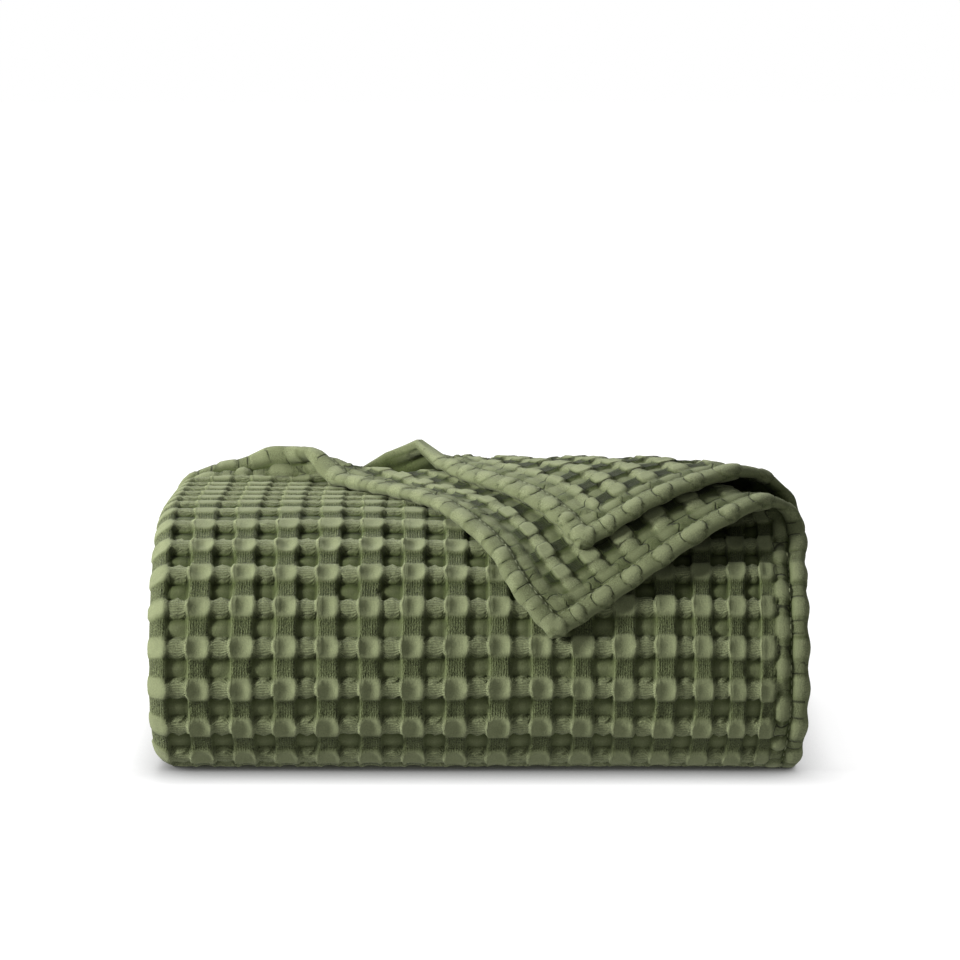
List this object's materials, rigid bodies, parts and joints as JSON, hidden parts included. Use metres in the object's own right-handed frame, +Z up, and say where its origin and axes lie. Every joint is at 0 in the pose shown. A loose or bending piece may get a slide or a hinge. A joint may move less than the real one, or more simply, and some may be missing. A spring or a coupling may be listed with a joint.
{
  "type": "folded waffle blanket",
  "caption": "Folded waffle-weave throw blanket: soft layers rolled flat with a rounded front fold and a hemmed corner turned over the top, for a bed, sofa or shelf.",
  "frame": {"origin": "middle of the base, on the surface that the folded blanket lies on", "axes": "+X along the folded width from the left folds to the right hems, -Y the rounded front fold, +Z up"},
  "size_m": [0.3254, 0.2902, 0.1471],
  "materials": {
    "waffle_cloth": "matte bamboo yarn in sage green"
  },
  "bodies": {
    "root": {"blanket": "waffle_cloth"}
  },
  "joints": []
}
